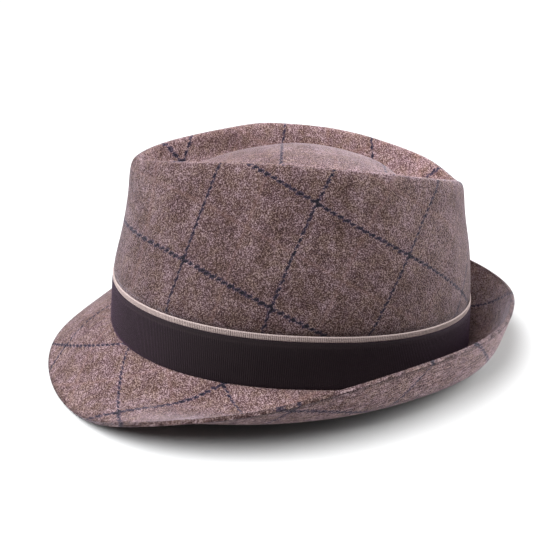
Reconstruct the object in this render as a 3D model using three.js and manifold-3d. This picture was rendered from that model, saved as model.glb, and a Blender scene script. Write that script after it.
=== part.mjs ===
// A trilby of checked wool cloth, resting on a flat surface. Millimetres, +Z up, the front of the
// hat at -Y and its wearer's left at +X. The hat is drawn level in its own frame, where z = 0 is the
// top of the brim's inner margin, and a group then sets it down as it rests by itself.
import * as THREE from 'three';
import Module from 'manifold-3d';

// Head opening, inside the cloth
const HEAD_LENGTH = 199;
const HEAD_WIDTH = 166.6;
const OVAL_POWER = 2.22; // 2 is an ellipse, more is squarer
const FOOT_FLARE = 4; // how far the crown's foot spreads, from none at the ribbons' top

// Cloth, ribbons and the clearance between pieces that touch
const CROWN_CLOTH = 2.0;
const BRIM_CLOTH = 2.4;
const SEAT_GAP = 0.3;
const BAND_HEIGHT = 25.4;
const BAND_THICKNESS = 1.2;
const EDGING_HEIGHT = 3.2;
const EDGING_THICKNESS = 1.0;

// Crown, heights above the brim's margin
const CROWN_HEIGHT = 105; // highest place of the crest
const DOME_DROP = 2; // top of the dome below the crest's highest place
const DOME_FALL = 14; // fall of the dome from its top to its front rim
const CHANNEL_DEPTH = 14; // channel between crest and dome
const CREST_ROUND = 6; // outer radius of the crest's roll
const CREST_TURN = 5; // inner radius, where it turns down into the channel
const WALL_FULLNESS = 2; // how far the cloth swells outside its straight line
const OVERLAP_RISE = 4.3; // height over the ribbons of that swell's start

// Brim
const BRIM_WIDTH = 43;
const REST_FLAT = 0.5; // cloth pressed flat where the brim touches the surface

// Directions are in degrees from the front, the same on both sides. The crest's reach is a share of
// the oval at the crown's foot, and its height a share of CROWN_HEIGHT.
const CREST = [
  { angle: 0, reach: 0.868, height: 0.877 },
  { angle: 25, reach: 0.73, height: 0.923 },
  { angle: 50, reach: 0.608, height: 0.971 },
  { angle: 80, reach: 0.634, height: 1.002 },
  { angle: 110, reach: 0.66, height: 0.993 },
  { angle: 135, reach: 0.7, height: 0.956 },
  { angle: 158, reach: 0.788, height: 0.907 },
  { angle: 180, reach: 0.843, height: 0.852 },
];

// The side wall between the ribbons and the crest: rise is a share of that height, lean of the way in
// to the crest's reach, fullness of WALL_FULLNESS and round of CREST_ROUND.
const WALL = [
  { rise: 0.35, lean: 0.3, fullness: 0.8, round: 0.2 },
  { rise: 0.7, lean: 0.66, fullness: 0.4, round: 0.5 },
];

// The crest's roll: out is a share of its outer or, below zero, its inner radius, and so is drop.
const ROLL = [
  { out: 1, drop: 1 },
  { out: 0.3, drop: 0.25 },
  { out: -0.5, drop: 0.4 },
  { out: -1.3, drop: 1.4 },
];

// At the front, sides and back. Flare is a share of FOOT_FLARE. The dome's rim has reach as a share of
// the foot's oval and fall as a share of DOME_FALL. The wall swells by shares of WALL_FULLNESS:
// overlap just over the ribbons, and fullness between them and the crest.
const FRONT = { flare: 0.3, reach: 0.51, fall: 1.0, overlap: -0.3, fullness: -0.2 };
const SIDE = { flare: 0, reach: 0.355, fall: 0.43, overlap: 1.4, fullness: 1.0 };
const BACK = { flare: 1.0, reach: 0.48, fall: 0.7, overlap: -0.2, fullness: 0.95 };

// The brim: width is a share of BRIM_WIDTH, slopes in degrees above level at its root and its edge,
// and turned is the share of the width over which the slope changes.
const BRIM = [
  { angle: 0, width: 0.995, rootSlope: -24, edgeSlope: -40, turned: 0.64 },
  { angle: 35, width: 0.98, rootSlope: -32, edgeSlope: -31, turned: 0.67 },
  { angle: 65, width: 0.955, rootSlope: -37, edgeSlope: 32, turned: 0.83 },
  { angle: 95, width: 0.935, rootSlope: -22, edgeSlope: 69, turned: 0.8 },
  { angle: 125, width: 0.865, rootSlope: -3, edgeSlope: 78, turned: 0.59 },
  { angle: 155, width: 0.86, rootSlope: 4, edgeSlope: 80, turned: 0.58 },
  { angle: 180, width: 0.9, rootSlope: 8, edgeSlope: 73, turned: 0.69 },
];

// Fineness of the faceted walls
const SEGMENTS = 64;
const STEPS_PER_SPAN = 2;
const BRIM_ROWS = 9;
const SLOPE_STEPS = 6; // steps of the brim's curve in one row

const ribbonTop = SEAT_GAP + BAND_HEIGHT + SEAT_GAP + EDGING_HEIGHT;
const bandOutside = CROWN_CLOTH + SEAT_GAP + BAND_THICKNESS;
const directions = Array.from({ length: SEGMENTS }, (_, i) => (i / SEGMENTS) * 2 * Math.PI);

// A point of the head's oval at a height, grown outwards by a distance and by the foot's flare.
function ovalPoint(direction, grown, height) {
  const c = Math.cos(direction);
  const s = Math.sin(direction);
  const reach = (Math.abs(c) ** OVAL_POWER + Math.abs(s) ** OVAL_POWER) ** (-1 / OVAL_POWER);
  const below = THREE.MathUtils.clamp(1 - height / ribbonTop, 0, 1);
  const spread = grown + aroundValue('flare', direction) * FOOT_FLARE * below;
  const x = (HEAD_WIDTH / 2 + spread) * s * reach;
  const y = -(HEAD_LENGTH / 2 + spread) * c * reach;
  return new THREE.Vector3(x, y, height);
}

// The level direction square to that oval.
function ovalNormal(direction, grown) {
  const nudge = Math.PI / 360;
  const ahead = ovalPoint(direction + nudge, grown, 0);
  const along = ahead.sub(ovalPoint(direction - nudge, grown, 0)).normalize();
  return new THREE.Vector3(along.y, -along.x, 0);
}

// A column of a table at a direction, smooth between its rows and level at front and back.
function tableValue(table, column, direction) {
  const turned = Math.abs(THREE.MathUtils.euclideanModulo(direction + Math.PI, 2 * Math.PI) - Math.PI);
  const angle = THREE.MathUtils.radToDeg(turned);
  const last = table.length - 1;
  const k = Math.min(table.findLastIndex((row) => row.angle <= angle + 1e-9), last - 1);
  const slopeAt = (i) => {
    if (i === 0 || i === last) return 0;
    return (table[i + 1][column] - table[i - 1][column]) / (table[i + 1].angle - table[i - 1].angle);
  };
  const span = table[k + 1].angle - table[k].angle;
  const t = (angle - table[k].angle) / span;
  const start = (1 + 2 * t) * (1 - t) ** 2 * table[k][column];
  const end = t * t * (3 - 2 * t) * table[k + 1][column];
  const startSlope = t * (1 - t) ** 2 * span * slopeAt(k);
  const endSlope = t * t * (t - 1) * span * slopeAt(k + 1);
  return start + end + startSlope + endSlope;
}

// A value given at front, sides and back, at a direction.
function aroundValue(name, direction) {
  const c = Math.cos(direction);
  const front = Math.max(0, c) ** 2;
  const back = Math.max(0, -c) ** 2;
  return front * FRONT[name] + back * BACK[name] + (1 - front - back) * SIDE[name];
}

// A point of the crown's outside: a share of its foot's oval, pushed out level, at a height.
function crownPoint(direction, share, out, height) {
  const point = ovalPoint(direction, CROWN_CLOTH, height).setZ(0);
  point.setLength(point.length() * share + out);
  return point.setZ(height);
}

// The crown's outside at one direction, from the ribbons over the crest to the centre of the dome.
function crownProfile(direction) {
  const reach = tableValue(CREST, 'reach', direction);
  const crest = tableValue(CREST, 'height', direction) * CROWN_HEIGHT;
  const swell = aroundValue('fullness', direction) * WALL_FULLNESS;
  const wallHeight = crest - CREST_ROUND - ribbonTop;
  const overlap = aroundValue('overlap', direction) * WALL_FULLNESS;
  const points = [crownPoint(direction, 1, 0, ribbonTop)];
  points.push(crownPoint(direction, 1, overlap, ribbonTop + OVERLAP_RISE));
  for (const row of WALL) {
    const out = swell * row.fullness + CREST_ROUND * row.round;
    points.push(crownPoint(direction, 1 + (reach - 1) * row.lean, out, ribbonTop + wallHeight * row.rise));
  }
  for (const row of ROLL) {
    const radius = row.out > 0 ? CREST_ROUND : CREST_TURN;
    points.push(crownPoint(direction, reach, row.out * radius, crest - row.drop * radius));
  }
  const top = CROWN_HEIGHT - DOME_DROP;
  const rim = top - aroundValue('fall', direction) * DOME_FALL;
  const rimReach = aroundValue('reach', direction);
  const floor = Math.min(crest - CHANNEL_DEPTH, rim - CREST_TURN);
  points.push(crownPoint(direction, 0.5 * (reach + rimReach) + 0.03, 0, floor));
  points.push(crownPoint(direction, rimReach, 0, rim));
  points.push(crownPoint(direction, rimReach / 2, 0, THREE.MathUtils.lerp(top, rim, 0.35)));
  points.push(new THREE.Vector3(0, 0, top));
  return new THREE.CatmullRomCurve3(points, false, 'centripetal').getPoints((points.length - 1) * STEPS_PER_SPAN);
}

// The brim at one direction: matching points of its upper and lower face, from opening to edge.
function brimProfile(direction) {
  const rootGrown = bandOutside + SEAT_GAP;
  const outwards = ovalNormal(direction, rootGrown);
  const width = tableValue(BRIM, 'width', direction) * BRIM_WIDTH;
  const rootSlope = THREE.MathUtils.degToRad(tableValue(BRIM, 'rootSlope', direction));
  const edgeSlope = THREE.MathUtils.degToRad(tableValue(BRIM, 'edgeSlope', direction));
  const turned = tableValue(BRIM, 'turned', direction);
  const slopeAt = (share) => THREE.MathUtils.lerp(rootSlope, edgeSlope, THREE.MathUtils.smoothstep(share, 0, turned));
  const under = (point, slope) => {
    const across = outwards.clone().multiplyScalar(Math.sin(slope)).setZ(-Math.cos(slope));
    return point.clone().addScaledVector(across, BRIM_CLOTH);
  };
  const upper = [ovalPoint(direction, 0, 0), ovalPoint(direction, rootGrown, 0)];
  const lower = [under(upper[0], 0), under(upper[1], rootSlope / 2)];
  const walk = upper[1].clone();
  for (let row = 1; row <= BRIM_ROWS; row += 1) {
    for (let step = 0; step < SLOPE_STEPS; step += 1) {
      const slope = slopeAt((row - 1 + (step + 0.5) / SLOPE_STEPS) / BRIM_ROWS);
      const length = width / (BRIM_ROWS * SLOPE_STEPS);
      walk.addScaledVector(outwards, Math.cos(slope) * length);
      walk.z += Math.sin(slope) * length;
    }
    upper.push(walk.clone());
    lower.push(under(walk, slopeAt(row / BRIM_ROWS)));
  }
  return { upper, lower };
}

// Rings of points from profiles made at every direction.
function ringsOf(profiles) {
  return profiles[0].map((_, row) => profiles.map((profile) => profile[row]));
}

// Triangles between neighbouring rings; the rings run anticlockwise seen from above.
function strips(ringCount, firstVertex, joinsItself) {
  const index = [];
  const spans = joinsItself ? ringCount : ringCount - 1;
  for (let row = 0; row < spans; row += 1) {
    const here = firstVertex + row * SEGMENTS;
    const next = firstVertex + ((row + 1) % ringCount) * SEGMENTS;
    for (let i = 0; i < SEGMENTS; i += 1) {
      const j = (i + 1) % SEGMENTS;
      index.push(here + i, here + j, next + j, here + i, next + j, next + i);
    }
  }
  return index;
}

function geometryOf(points, index) {
  const geometry = new THREE.BufferGeometry().setFromPoints(points);
  geometry.setIndex(index);
  geometry.computeVertexNormals();
  return geometry;
}

// A closed ring-shaped body whose section is the loop of rings.
function ringBody(rings) {
  return geometryOf(rings.flat(), strips(rings.length, 0, true));
}

// A cap of cloth, open below: rings from its foot up, then the pole, thickened inwards.
function capBody(rings, pole, thickness) {
  const outsidePoints = [...rings.flat(), pole];
  const outsideIndex = strips(rings.length, 0, false);
  const lastRing = (rings.length - 1) * SEGMENTS;
  for (let i = 0; i < SEGMENTS; i += 1) {
    outsideIndex.push(lastRing + i, lastRing + ((i + 1) % SEGMENTS), outsidePoints.length - 1);
  }
  const outside = geometryOf(outsidePoints, outsideIndex);
  const normals = outside.getAttribute('normal');
  const insidePoints = outsidePoints.map((point, i) => {
    const inwards = new THREE.Vector3().fromBufferAttribute(normals, i).multiplyScalar(-thickness);
    return point.clone().add(i < SEGMENTS ? inwards.setZ(0) : inwards);
  });
  const count = outsidePoints.length;
  const index = [...outsideIndex];
  for (let i = 0; i < outsideIndex.length; i += 3) {
    index.push(outsideIndex[i] + count, outsideIndex[i + 2] + count, outsideIndex[i + 1] + count);
  }
  for (let i = 0; i < SEGMENTS; i += 1) {
    const j = (i + 1) % SEGMENTS;
    index.push(i, i + count, j + count, i, j + count, j);
  }
  return geometryOf([...outsidePoints, ...insidePoints], index);
}

// A ribbon round the foot of the crown, between two growths of the head's oval.
function ribbonBody(inside, thickness, bottom, height) {
  const ringAt = (grown, z) => directions.map((direction) => ovalPoint(direction, grown, z));
  const top = bottom + height;
  const outside = inside + thickness;
  return ringBody([ringAt(outside, bottom), ringAt(outside, top), ringAt(inside, top), ringAt(inside, bottom)]);
}

function makeCrown() {
  const foot = directions.map((direction) => crownPoint(direction, 1, 0, SEAT_GAP));
  const rings = ringsOf(directions.map(crownProfile));
  const pole = rings.pop()[0];
  return capBody([foot, ...rings], pole, CROWN_CLOTH);
}

function makeBand() {
  return ribbonBody(CROWN_CLOTH + SEAT_GAP, BAND_THICKNESS, SEAT_GAP, BAND_HEIGHT);
}

function makeEdging() {
  const bottom = SEAT_GAP + BAND_HEIGHT + SEAT_GAP;
  return ribbonBody(CROWN_CLOTH + SEAT_GAP, EDGING_THICKNESS, bottom, EDGING_HEIGHT);
}

function makeBrim(upperRings, lowerRings) {
  return ringBody([...upperRings.toReversed(), ...lowerRings]);
}

// The tilt about X at which the front half of the underside comes down as low as the rear half.
function restTilt(points) {
  const lowest = (half, tilt) => {
    const heights = half.map((point) => point.z * Math.cos(tilt) + point.y * Math.sin(tilt));
    return Math.min(...heights);
  };
  const front = points.filter((point) => point.y < 0);
  const rear = points.filter((point) => point.y > 0);
  let low = -Math.PI / 6;
  let high = Math.PI / 6;
  for (let i = 0; i < 40; i += 1) {
    const middle = (low + high) / 2;
    if (lowest(front, middle) > lowest(rear, middle)) low = middle;
    else high = middle;
  }
  return (low + high) / 2;
}

// The group's place: tilted to rest, pressed into the surface by REST_FLAT, centred over its origin.
function restMatrix(points) {
  const turn = new THREE.Matrix4().makeRotationX(restTilt(points));
  const box = new THREE.Box3().setFromPoints(points.map((point) => point.clone().applyMatrix4(turn)));
  const middle = (box.min.y + box.max.y) / 2;
  return turn.premultiply(new THREE.Matrix4().makeTranslation(0, -middle, -box.min.z - REST_FLAT));
}

// The cloth below the surface is taken off, which leaves small flat lands to rest on.
function pressedOn(wasm, geometry, place) {
  const solidOf = (shape) => new wasm.Manifold(new wasm.Mesh({
    numProp: 3,
    vertProperties: new Float32Array(shape.getAttribute('position').array),
    triVerts: new Uint32Array(shape.getIndex().array),
  }));
  const side = 4 * HEAD_LENGTH;
  const block = new THREE.BoxGeometry(side, side, side / 8).translate(0, 0, -side / 16);
  block.deleteAttribute('normal');
  block.deleteAttribute('uv');
  const corners = block.getAttribute('position');
  const shared = [];
  const index = Array.from(block.getIndex().array, (i) => {
    const corner = new THREE.Vector3().fromBufferAttribute(corners, i);
    const known = shared.findIndex((point) => point.equals(corner));
    return known >= 0 ? known : shared.push(corner) - 1;
  });
  const surface = geometryOf(shared, index).applyMatrix4(place.clone().invert());
  const mesh = solidOf(geometry).subtract(solidOf(surface)).getMesh();
  const pressed = new THREE.BufferGeometry();
  pressed.setAttribute('position', new THREE.BufferAttribute(mesh.vertProperties, 3));
  pressed.setIndex(new THREE.BufferAttribute(mesh.triVerts, 1));
  pressed.computeVertexNormals();
  return pressed;
}

function meshOf(name, geometry, color, roughness) {
  const mesh = new THREE.Mesh(geometry, new THREE.MeshStandardMaterial({ color, roughness, metalness: 0 }));
  mesh.name = name;
  return mesh;
}

const wasm = await Module();
wasm.setup();

const brimProfiles = directions.map(brimProfile);
const upperRings = ringsOf(brimProfiles.map((profile) => profile.upper));
const lowerRings = ringsOf(brimProfiles.map((profile) => profile.lower));
const place = restMatrix([...upperRings.flat(), ...lowerRings.flat()]);

const hat = new THREE.Group();
hat.applyMatrix4(place);
hat.add(meshOf('brim', pressedOn(wasm, makeBrim(upperRings, lowerRings), place), 0x7d6360, 0.9));
hat.add(meshOf('crown', makeCrown(), 0x7d6360, 0.9));
hat.add(meshOf('ribbon_band', makeBand(), 0x241c1e, 0.7));
hat.add(meshOf('ribbon_edging', makeEdging(), 0x9a8683, 0.7));

const group = new THREE.Group();
group.add(hat);

export default group;
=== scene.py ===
"""Looks of a checked wool trilby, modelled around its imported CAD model.

The hat is drawn level and in millimetres on the block of the model's source: its front is at -Y, its
wearer's left at +X, and z = 0 is the top of the brim's inner margin. RestingPlace then sets every point
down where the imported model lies, in metres. Directions are radians from the front, towards +X.
"""

import logging
import math
from dataclasses import dataclass
from enum import Enum

import bpy
import numpy as np
from mathutils import Matrix, Vector


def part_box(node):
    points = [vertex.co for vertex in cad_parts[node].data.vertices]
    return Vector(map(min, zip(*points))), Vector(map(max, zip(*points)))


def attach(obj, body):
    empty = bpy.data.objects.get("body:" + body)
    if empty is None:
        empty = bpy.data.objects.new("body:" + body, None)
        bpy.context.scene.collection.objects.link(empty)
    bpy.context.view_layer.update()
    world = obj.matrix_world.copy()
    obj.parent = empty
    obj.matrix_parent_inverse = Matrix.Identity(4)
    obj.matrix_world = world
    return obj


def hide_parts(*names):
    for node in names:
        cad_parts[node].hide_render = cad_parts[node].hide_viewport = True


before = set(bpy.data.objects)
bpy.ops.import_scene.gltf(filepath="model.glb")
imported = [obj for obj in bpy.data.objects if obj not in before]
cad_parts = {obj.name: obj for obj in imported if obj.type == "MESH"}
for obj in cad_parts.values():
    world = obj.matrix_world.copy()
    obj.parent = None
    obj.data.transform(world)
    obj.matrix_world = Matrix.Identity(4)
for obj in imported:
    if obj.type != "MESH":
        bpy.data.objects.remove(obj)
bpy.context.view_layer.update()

log = logging.getLogger("trilby")

# A number or an array of them, and a colour as red, green and blue light
Numbers = float | np.ndarray
Shade = tuple[float, float, float]

# A millimetre in metres, and what is too small to count as a length or an angle
MM = 0.001
TINY = 1e-6

# The pieces' UV maps, and the attribute that holds the painted light and shade by ring, a factor on the
# cloth's colour
CHECK_MAP = "check"
WEAVE_MAP = "weave"
HAIR_MAP = "hairs"
PAINTED_LIGHT_ATTRIBUTE = "nap"

# Sizes that several pieces share, in millimetres
GAP = 0.3
CROWN_CLOTH = 2.0
BAND_THICKNESS = 1.2
BAND_HEIGHT = 25.4
EDGING_THICKNESS = 1.0
EDGING_HEIGHT = 3.2
BAND_BOTTOM = GAP
EDGING_BOTTOM = BAND_BOTTOM + BAND_HEIGHT + GAP
RIBBONS_TOP = EDGING_BOTTOM + EDGING_HEIGHT
RIBBONS_INSIDE = CROWN_CLOTH + GAP
BRIM_ROOT = RIBBONS_INSIDE + BAND_THICKNESS + GAP

# Degrees from the front at which the crest and the brim are given
CREST_ANGLES = (0, 25, 50, 80, 110, 135, 158, 180)
BRIM_ANGLES = (0, 35, 65, 95, 125, 155, 180)

# How the hat's tilt is searched for: the steepest tried, in radians, and how often the span is halved
STEEPEST_TILT = math.radians(20)
TILT_HALVINGS = 40

# Degrees past which an edge is shaded sharp
SHARP_CLOTH = 60.0
SHARP_TAPE = 50.0


# Forms: the hatter's block, shared by all pieces


@dataclass(frozen=True)
class Around:
    """A value given at the front, the sides and the back."""

    front: float
    side: float
    back: float

    def at(self, direction: np.ndarray) -> np.ndarray:
        """Blends the three values round the hat.

        Args:
            direction: Radians from the front.

        Returns:
            The value at each direction.
        """
        facing = np.cos(direction)
        ahead = np.clip(facing, 0, 1) ** 2
        behind = np.clip(-facing, 0, 1) ** 2
        return ahead * self.front + behind * self.back + (1 - ahead - behind) * self.side


@dataclass(frozen=True)
class Graded:
    """A value given at angles from the front in degrees, smooth between them and alike on both sides."""

    angles: tuple[float, ...]
    values: tuple[float, ...]

    def at(self, direction: np.ndarray) -> np.ndarray:
        """Reads the table between its rows, level at the front and the back.

        Args:
            direction: Radians from the front.

        Returns:
            The value at each direction.
        """
        angle = np.degrees(np.abs((direction + math.pi) % math.tau - math.pi))
        angles = np.array(self.angles)
        values = np.array(self.values)
        slopes = np.zeros(len(values))
        slopes[1:-1] = (values[2:] - values[:-2]) / (angles[2:] - angles[:-2])
        k = np.clip(np.searchsorted(angles, angle + TINY, side="right") - 1, 0, len(angles) - 2)
        span = angles[k + 1] - angles[k]
        t = (angle - angles[k]) / span
        start = (1 + 2 * t) * (1 - t) ** 2 * values[k]
        end = t * t * (3 - 2 * t) * values[k + 1]
        start_slope = t * (1 - t) ** 2 * span * slopes[k]
        end_slope = t * t * (t - 1) * span * slopes[k + 1]
        return start + end + start_slope + end_slope


@dataclass(frozen=True)
class HeadOval:
    """The head's oval inside the crown's foot, in millimetres."""

    length: float = 199.0
    width: float = 166.6
    power: float = 2.22
    foot_flare: float = 4.0
    flare: Around = Around(0.3, 0.0, 1.0)
    flare_top: float = RIBBONS_TOP

    def points(self, direction: np.ndarray, grown: Numbers, height: Numbers) -> np.ndarray:
        """Finds points of the oval, grown outwards, at a height.

        Args:
            direction: Radians from the front.
            grown: How far the oval grows, in millimetres.
            height: Height above the brim's inner margin.

        Returns:
            Level points, x, y and z along the last axis.
        """
        direction, grown, height = np.broadcast_arrays(direction, grown, height)
        c, s = np.cos(direction), np.sin(direction)
        reach = (np.abs(c) ** self.power + np.abs(s) ** self.power) ** (-1 / self.power)
        below = np.clip(1 - height / self.flare_top, 0, 1)
        spread = grown + self.flare.at(direction) * self.foot_flare * below
        x = (self.width / 2 + spread) * s * reach
        y = -(self.length / 2 + spread) * c * reach
        return np.stack([x, y, height], axis=-1)

    def outwards(self, direction: np.ndarray, grown: float) -> np.ndarray:
        """Finds the way out, square to the grown oval.

        Args:
            direction: Radians from the front.
            grown: How far the oval grows, in millimetres.

        Returns:
            Level unit directions.
        """
        nudge = math.radians(0.5)
        along = self.points(direction + nudge, grown, 0.0) - self.points(direction - nudge, grown, 0.0)
        along /= np.linalg.norm(along, axis=-1, keepdims=True)
        return np.stack([along[..., 1], -along[..., 0], np.zeros_like(along[..., 0])], axis=-1)


@dataclass(frozen=True)
class RestingPlace:
    """How the level hat is tilted and set down: the front's rise in radians, the rest in millimetres."""

    tilt: float
    back: float
    lift: float

    def row(self, points: np.ndarray) -> np.ndarray:
        """Sets level points down on the surface.

        Args:
            points: Level points in millimetres.

        Returns:
            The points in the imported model's frame, in metres.
        """
        x, y, z = points[..., 0], points[..., 1], points[..., 2]
        c, s = math.cos(self.tilt), math.sin(self.tilt)
        return np.stack([x, y * c + z * s + self.back, z * c - y * s + self.lift], axis=-1) * MM

    @classmethod
    def of_ring(cls, rings: np.ndarray, low: Vector, high: Vector) -> "RestingPlace":
        """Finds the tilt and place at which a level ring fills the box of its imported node.

        Args:
            rings: Level points of the ring's edges, in millimetres.
            low: The node's lowest corner, in metres.
            high: The node's highest corner, in metres.

        Returns:
            The hat's resting place.
        """
        wanted = (high.z - low.z) / MM
        least, most = 0.0, STEEPEST_TILT
        for _ in range(TILT_HALVINGS):
            middle = (least + most) / 2
            heights = rings[..., 2] * math.cos(middle) - rings[..., 1] * math.sin(middle)
            if np.ptp(heights) < wanted:
                least = middle
            else:
                most = middle
        turned = cls(least, 0.0, 0.0).row(rings) / MM
        return cls(least, low.y / MM - turned[..., 1].min(), low.z / MM - turned[..., 2].min())


@dataclass(frozen=True)
class Roll:
    """One turn of the crest's roll, in shares of its outer or, below zero, its inner radius."""

    out: float
    drop: float


@dataclass(frozen=True)
class WallRow:
    """One height of the crown's side, in shares of its height, its lean, its swell and its roll."""

    rise: float
    lean: float
    fullness: float
    rolled: float


@dataclass(frozen=True)
class CrownForm:
    """The crown's outside: a teardrop crest, a sunk channel and a raised dome. Millimetres."""

    oval: HeadOval
    cloth: float = CROWN_CLOTH
    foot: float = GAP
    height: float = 105.0
    dome_drop: float = 2.0
    dome_fall: float = 14.0
    dome_shoulder: float = 0.35
    channel_depth: float = 14.0
    channel_out: float = 0.03
    crest_round: float = 3.5
    crest_turn: float = 3.5
    wall_fullness: float = 2.0
    overlap_rise: float = 1.6
    reach: Graded = Graded(CREST_ANGLES, (0.886, 0.754, 0.635, 0.663, 0.688, 0.726, 0.813, 0.868))
    crest: Graded = Graded(CREST_ANGLES, (0.877, 0.923, 0.971, 1.002, 0.993, 0.956, 0.907, 0.852))
    wall: tuple[WallRow, ...] = (WallRow(0.35, 0.3, 0.8, 0.2), WallRow(0.7, 0.66, 0.4, 0.5))
    roll: tuple[Roll, ...] = (Roll(1, 1), Roll(0.3, 0.25), Roll(-0.5, 0.4), Roll(-1.3, 1.4))
    overlap: Around = Around(0.4, 0.3, 0.2)
    fullness: Around = Around(-0.2, 1.0, 0.95)
    rim_reach: Around = Around(0.51, 0.355, 0.48)
    rim_fall: Around = Around(1.0, 0.43, 0.7)

    def point(self, direction: np.ndarray, share: Numbers, out: Numbers, height: Numbers) -> np.ndarray:
        """Finds points at a share of the foot's oval.

        Args:
            direction: Radians from the front.
            share: The share of the oval.
            out: How far the points are pushed out level, in millimetres.
            height: Height above the brim's inner margin.

        Returns:
            Level points.
        """
        level = self.oval.points(direction, self.cloth, height)
        plan = level[..., :2]
        radius = np.linalg.norm(plan, axis=-1)
        plan = plan * ((radius * share + out) / radius)[..., None]
        return np.concatenate([plan, level[..., 2:]], axis=-1)

    def knots(self, direction: np.ndarray) -> np.ndarray:
        """Places the points that the crown's profile passes through.

        Args:
            direction: Radians from the front.

        Returns:
            Points from the ribbons' top to the dome's centre, one row for each knot.
        """
        top_of_ribbons = self.oval.flare_top
        reach = self.reach.at(direction)
        crest = self.crest.at(direction) * self.height
        swell = self.fullness.at(direction) * self.wall_fullness
        wall_height = crest - self.crest_round - top_of_ribbons
        rows = [self.point(direction, 1, 0, top_of_ribbons)]
        overlap = self.overlap.at(direction) * self.wall_fullness
        rows.append(self.point(direction, 1, overlap, top_of_ribbons + self.overlap_rise))
        for row in self.wall:
            out = swell * row.fullness + self.crest_round * row.rolled
            share = 1 + (reach - 1) * row.lean
            rows.append(self.point(direction, share, out, top_of_ribbons + wall_height * row.rise))
        for turn in self.roll:
            radius = self.crest_round if turn.out > 0 else self.crest_turn
            rows.append(self.point(direction, reach, turn.out * radius, crest - turn.drop * radius))
        top = self.height - self.dome_drop
        rim = top - self.rim_fall.at(direction) * self.dome_fall
        rim_reach = self.rim_reach.at(direction)
        floor = np.minimum(crest - self.channel_depth, rim - self.crest_turn)
        rows.append(self.point(direction, (reach + rim_reach) / 2 + self.channel_out, 0, floor))
        rows.append(self.point(direction, rim_reach, 0, rim))
        rows.append(self.point(direction, rim_reach / 2, 0, top + (rim - top) * self.dome_shoulder))
        centre = np.zeros_like(rows[0])
        centre[..., 2] = top
        rows.append(centre)
        return np.stack(rows)


def smooth_line(knots: np.ndarray, steps: tuple[int, ...]) -> np.ndarray:
    """Runs a centripetal spline through knots.

    Args:
        knots: Points along the first axis.
        steps: How many steps each span is cut into.

    Returns:
        Points along the first axis, knots included.
    """
    padded = np.concatenate([[2 * knots[0] - knots[1]], knots, [2 * knots[-1] - knots[-2]]])
    gaps = np.linalg.norm(np.diff(padded, axis=0), axis=-1)[..., None] ** 0.5
    rows = [knots[:1]]
    for k, count in enumerate(steps):
        before, here, ahead, beyond = padded[k : k + 4]
        g0, g1, g2 = gaps[k : k + 3]
        leave = ((here - before) / g0 - (ahead - before) / (g0 + g1) + (ahead - here) / g1) * g1
        arrive = ((ahead - here) / g1 - (beyond - here) / (g1 + g2) + (beyond - ahead) / g2) * g1
        for step in range(1, count + 1):
            t = step / count
            point = (2 * t**3 - 3 * t**2 + 1) * here + (3 * t**2 - 2 * t**3) * ahead
            point = point + (t**3 - 2 * t**2 + t) * leave + (t**3 - t**2) * arrive
            rows.append(point[None])
    return np.concatenate(rows)


@dataclass(frozen=True)
class BrimForm:
    """The brim: a flat margin, then cloth that turns down in front and curls up behind. Millimetres."""

    oval: HeadOval
    cloth: float = 2.4
    root: float = BRIM_ROOT
    width: float = 43.0
    widths: Graded = Graded(BRIM_ANGLES, (0.995, 0.98, 0.965, 1.03, 0.87, 0.86, 0.9))
    root_slope: Graded = Graded(BRIM_ANGLES, (-24, -32, -37, -22, -3, 4, 8))
    edge_slope: Graded = Graded(BRIM_ANGLES, (-40, -31, 32, 69, 78, 80, 73))
    turned: Graded = Graded(BRIM_ANGLES, (0.64, 0.67, 0.83, 0.8, 0.59, 0.58, 0.69))
    slope_steps: int = 6

    def faces(self, direction: np.ndarray, rows: int) -> tuple[np.ndarray, np.ndarray]:
        """Walks out from the opening and finds matching points of the upper and the lower face.

        Args:
            direction: Radians from the front.
            rows: How many rows the turned cloth has.

        Returns:
            The upper and the lower points, rows along the first axis.
        """
        outwards = self.oval.outwards(direction, self.root)
        width = self.widths.at(direction) * self.width
        root = np.radians(self.root_slope.at(direction))
        edge = np.radians(self.edge_slope.at(direction))
        turned = self.turned.at(direction)

        def slope_at(share: float) -> np.ndarray:
            """Returns the slope, in radians, at a share of the width."""
            t = np.clip(share / turned, 0, 1)
            return root + (edge - root) * t * t * (3 - 2 * t)

        def under(point: np.ndarray, slope: np.ndarray) -> np.ndarray:
            """Finds the lower face's points, square to the slope.

            Args:
                point: Points of the upper face.
                slope: The cloth's slope there, in radians.

            Returns:
                Points of the lower face.
            """
            across = outwards * np.sin(slope)[..., None]
            across[..., 2] = -np.cos(slope)
            return point + across * self.cloth

        level = np.zeros_like(direction)
        upper = [self.oval.points(direction, 0.0, 0.0), self.oval.points(direction, self.root, 0.0)]
        lower = [under(upper[0], level), under(upper[1], root / 2)]
        walk = upper[1].copy()
        for row in range(1, rows + 1):
            for step in range(self.slope_steps):
                slope = slope_at((row - 1 + (step + 0.5) / self.slope_steps) / rows)
                length = width / (rows * self.slope_steps)
                walk = walk + outwards * (np.cos(slope) * length)[..., None]
                walk[..., 2] += np.sin(slope) * length
            upper.append(walk.copy())
            lower.append(under(walk, slope_at(row / rows)))
        return np.stack(upper), np.stack(lower)


# Cloths: how each piece was cut from the checked cloth


def run_along(points: np.ndarray) -> np.ndarray:
    """Returns the length run along points, from the first, along the first axis."""
    steps = np.linalg.norm(np.diff(points, axis=0), axis=-1)
    return np.concatenate([np.zeros_like(steps[:1]), np.cumsum(steps, axis=0)])


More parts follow.
